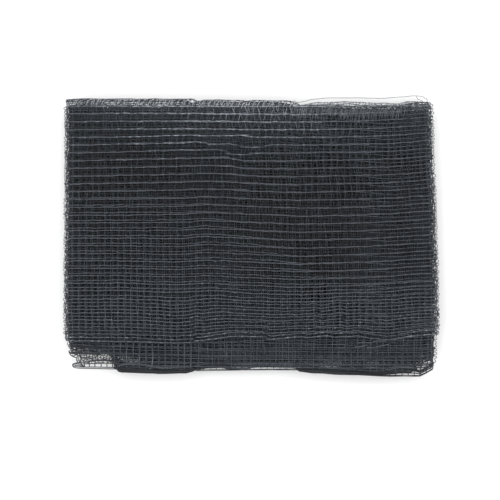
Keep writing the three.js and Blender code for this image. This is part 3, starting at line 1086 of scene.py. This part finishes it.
def netPiece(name, members):
    bundle = newStrands(lastLayer - 1 in members)
    runs = {ply: [] for ply in plies}
    fine = lastLayer in members
    for index in members:
        if index > 0:
            for ply in plies:
                tone = foldTone(index, ply)
                rings = [foldRing(index - 1, ply, columnPlaces, turn, tone) for turn in net["foldTurns"]]
                runs[ply].append(np.stack(rings))
            for ply, turns, tone, sway in foldRows["near" if index % 2 else "top" if fine else "far"]:
                addFoldRows(bundle, index - 1, ply, turns, tone, sway)
        for stroke in farStrokes:
            if stroke["fold"] == index - 1:
                addFarStrokes(bundle, stroke)
        places = rowPlaces(index)
        knots = [plyKnots(index, ply, columnPlaces, places) for ply in plies]
        addLayerRows(bundle, index, knots, fine)
        if index in sideLoop["layers"]:
            addSideLoops(bundle, index)
        for ply in plies:
            runs[ply].append(knots[ply][::-1] if index % 2 == 0 else knots[ply])
    for ply in plies:
        addColumns(bundle, ply, runs[ply], fine)
    if fine:
        addEndFlap(bundle)
    if tongue["layers"][0] in members:
        addTongueMesh(bundle)
    if lastLayer - 1 in members:
        addLooseRow(bundle)
        for roll in rolls:
            addRoll(bundle, roll)
    return strandMesh(name, bundle)


pieceMembers = {
    "topLayer": (8,),
    "upperLayers": (6, 7),
    "middleLayers": (4, 5),
    "lowerLayers": (2, 3),
    "bottomLayers": (0, 1),
}
pieces = {name: netPiece(name, members) for name, members in pieceMembers.items()}


# Shader values that add Math nodes as they are combined.
class Signal:
    def __init__(self, shader, socket):
        self.shader, self.socket = shader, socket

    def combine(self, operation, first, second):
        return self.shader.add("ShaderNodeMath", {"operation": operation}, {0: first, 1: second})

    def __add__(self, other):
        return self.combine("ADD", self, other)

    def __sub__(self, other):
        return self.combine("SUBTRACT", self, other)

    def __rsub__(self, other):
        return self.combine("SUBTRACT", other, self)

    def __mul__(self, other):
        return self.combine("MULTIPLY", self, other)

    __radd__ = __add__
    __rmul__ = __mul__


class Shader:
    def __init__(self, name):
        self.material = bpy.data.materials.new(name)
        self.material.use_nodes = True
        self.tree = self.material.node_tree
        self.tree.nodes.clear()

    def add(self, kind, settings, sockets, output=0):
        node = self.tree.nodes.new(kind)
        for key, value in settings.items():
            setattr(node, key, value)
        for key, value in sockets.items():
            if isinstance(value, Signal):
                self.tree.links.new(value.socket, node.inputs[key])
            else:
                node.inputs[key].default_value = value
        return Signal(self, node.outputs[output]) if node.outputs else None

    def finish(self, surface):
        self.add("ShaderNodeOutputMaterial", {}, {"Surface": surface})
        return self.material


# The strands' colours are painted light and shade: shaded, pale as lit, and backlit.
netFinish = {
    "shaded": (0.0094, 0.011, 0.0135, 1),
    "pale": (0.0718, 0.081, 0.0936, 1),
    "backlit": (0.33, 0.358, 0.392, 1),  # painted backlight, for edges that stand free
    "noises": [(90.0, 3.0), (420.0, 1.0), (1100.0, 1.0), (2600.0, 2.0)],  # dust, specks, grain, fibres
    "dust": 0.9,
    "speck": 1.8,
    "grain": 2.4,
    "less": 0.35,
    # where the painted backlight begins, by tone
    "fade": {"even": 0.96, "dust": 0.48, "from": 1.66},
    "roughness": 0.42,
    "dustRough": 0.2,
    "specular": 0.26,
    "fibreHeight": 0.00008,
    "fibreStrength": 0.6,
}


def knittedStrand():
    shader = Shader("knittedStrand")
    place = shader.add("ShaderNodeTexCoord", {}, {}, "Object")
    tone = shader.add("ShaderNodeAttribute", {"attribute_name": "tone"}, {}, "Fac")
    dust, speck, grain, fibre = (
        shader.add("ShaderNodeTexNoise", {}, {"Vector": place, "Scale": scale, "Detail": detail}, "Fac")
        for scale, detail in netFinish["noises"]
    )
    paleBoost = netFinish["dust"] * dust + netFinish["speck"] * speck - netFinish["less"]
    grained = netFinish["grain"] * grain - netFinish["grain"] / 2
    paleness = tone * paleBoost + tone * grained
    fade = netFinish["fade"]
    # painted light and shade: tone mixes the shaded colour into the pale, lit one
    colour = shader.add("ShaderNodeMix", {"data_type": "RGBA"}, {
        0: paleness, 6: netFinish["shaded"], 7: netFinish["pale"],
    }, 2)
    # painted backlight: the palest strands take the backlit colour
    colour = shader.add("ShaderNodeMix", {"data_type": "RGBA"}, {
        0: tone * (fade["even"] + fade["dust"] * dust) - fade["from"], 6: colour, 7: netFinish["backlit"],
    }, 2)
    bump = shader.add("ShaderNodeBump", {}, {
        "Height": fibre, "Strength": netFinish["fibreStrength"], "Distance": netFinish["fibreHeight"],
    }, "Normal")
    surface = shader.add("ShaderNodeBsdfPrincipled", {}, {
        "Base Color": colour,
        "Roughness": netFinish["roughness"] + netFinish["dustRough"] * dust,
        "Specular IOR Level": netFinish["specular"],
        "Normal": bump,
    })
    return shader.finish(surface)


strandMaterial = knittedStrand()
for piece in pieces.values():
    piece.data.materials.append(strandMaterial)


# A plain pale floor, soft light all round, and the camera straight above.
studio = {
    "floor": {
        "colour": (0.92, 0.92, 0.92, 1), "rough": (0.7, 0.1), "grain": 40.0, "size": 8, "below": 0.0002,
    },
    "world": 0.8,
    "lights": [
        {"name": "overhead", "at": (0.0, 0.3, 2.2), "size": 2.4, "power": 42},
        {"name": "side", "at": (-1.5, -1.2, 1.5), "size": 1.4, "power": 8},
    ],
    "lens": 150,
    "frameWide": 500,  # mm across the picture, at the pile's top face
    "lookAt": (-1.0, -14.0),  # mm, the middle of the picture
}


def floorFinish():
    shader = Shader("paleFloor")
    place = shader.add("ShaderNodeTexCoord", {}, {}, "Object")
    look = studio["floor"]
    grain = shader.add("ShaderNodeTexNoise", {}, {"Vector": place, "Scale": look["grain"]}, "Fac")
    least, more = look["rough"]
    surface = shader.add("ShaderNodeBsdfPrincipled", {}, {
        "Base Color": look["colour"],
        "Roughness": least + more * grain,
    })
    return shader.finish(surface)


bpy.ops.mesh.primitive_plane_add(size=studio["floor"]["size"], location=(0, 0, -studio["floor"]["below"]))
floor = bpy.context.object
floor.name = "floor"
floor.data.materials.append(floorFinish())

scene = bpy.context.scene
scene.view_settings.view_transform = "Standard"
scene.world = bpy.data.worlds.new("softRoom")
scene.world.use_nodes = True
background = scene.world.node_tree.nodes["Background"]
background.inputs["Color"].default_value = (1, 1, 1, 1)
background.inputs["Strength"].default_value = studio["world"]

for light in studio["lights"]:
    lamp = bpy.data.lights.new(light["name"], "AREA")
    lamp.size, lamp.energy = light["size"], light["power"]
    holder = bpy.data.objects.new(light["name"], lamp)
    holder.location = light["at"]
    aim = -holder.location
    holder.rotation_euler = aim.to_track_quat("-Z", "Y").to_euler()
    scene.collection.objects.link(holder)

camera = bpy.data.cameras.new("camera")
camera.lens = studio["lens"]
eye = bpy.data.objects.new("camera", camera)
away = studio["frameWide"] * mm * camera.lens / camera.sensor_width
eye.location = (studio["lookAt"][0] * mm, studio["lookAt"][1] * mm, cadBox[1][2] + away)
scene.collection.objects.link(eye)
scene.camera = eye
print("studio ready")


# Each piece is a stretch of the same net, folded, whose strands cover only part of their flat size. Here
# each is attached, the solid hidden, and its flat run length summed.
for name, piece in pieces.items():
    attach(piece, "root")
    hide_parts("folded_net")
    runLength = 0
    for index in pieceMembers[name]:
        near, far = plyEnds(index, 1, columnPlaces)
        runLength += (far - near).mean() * mm
        runLength += math.pi * layerPitch / 2 * mm if index > 0 else 0
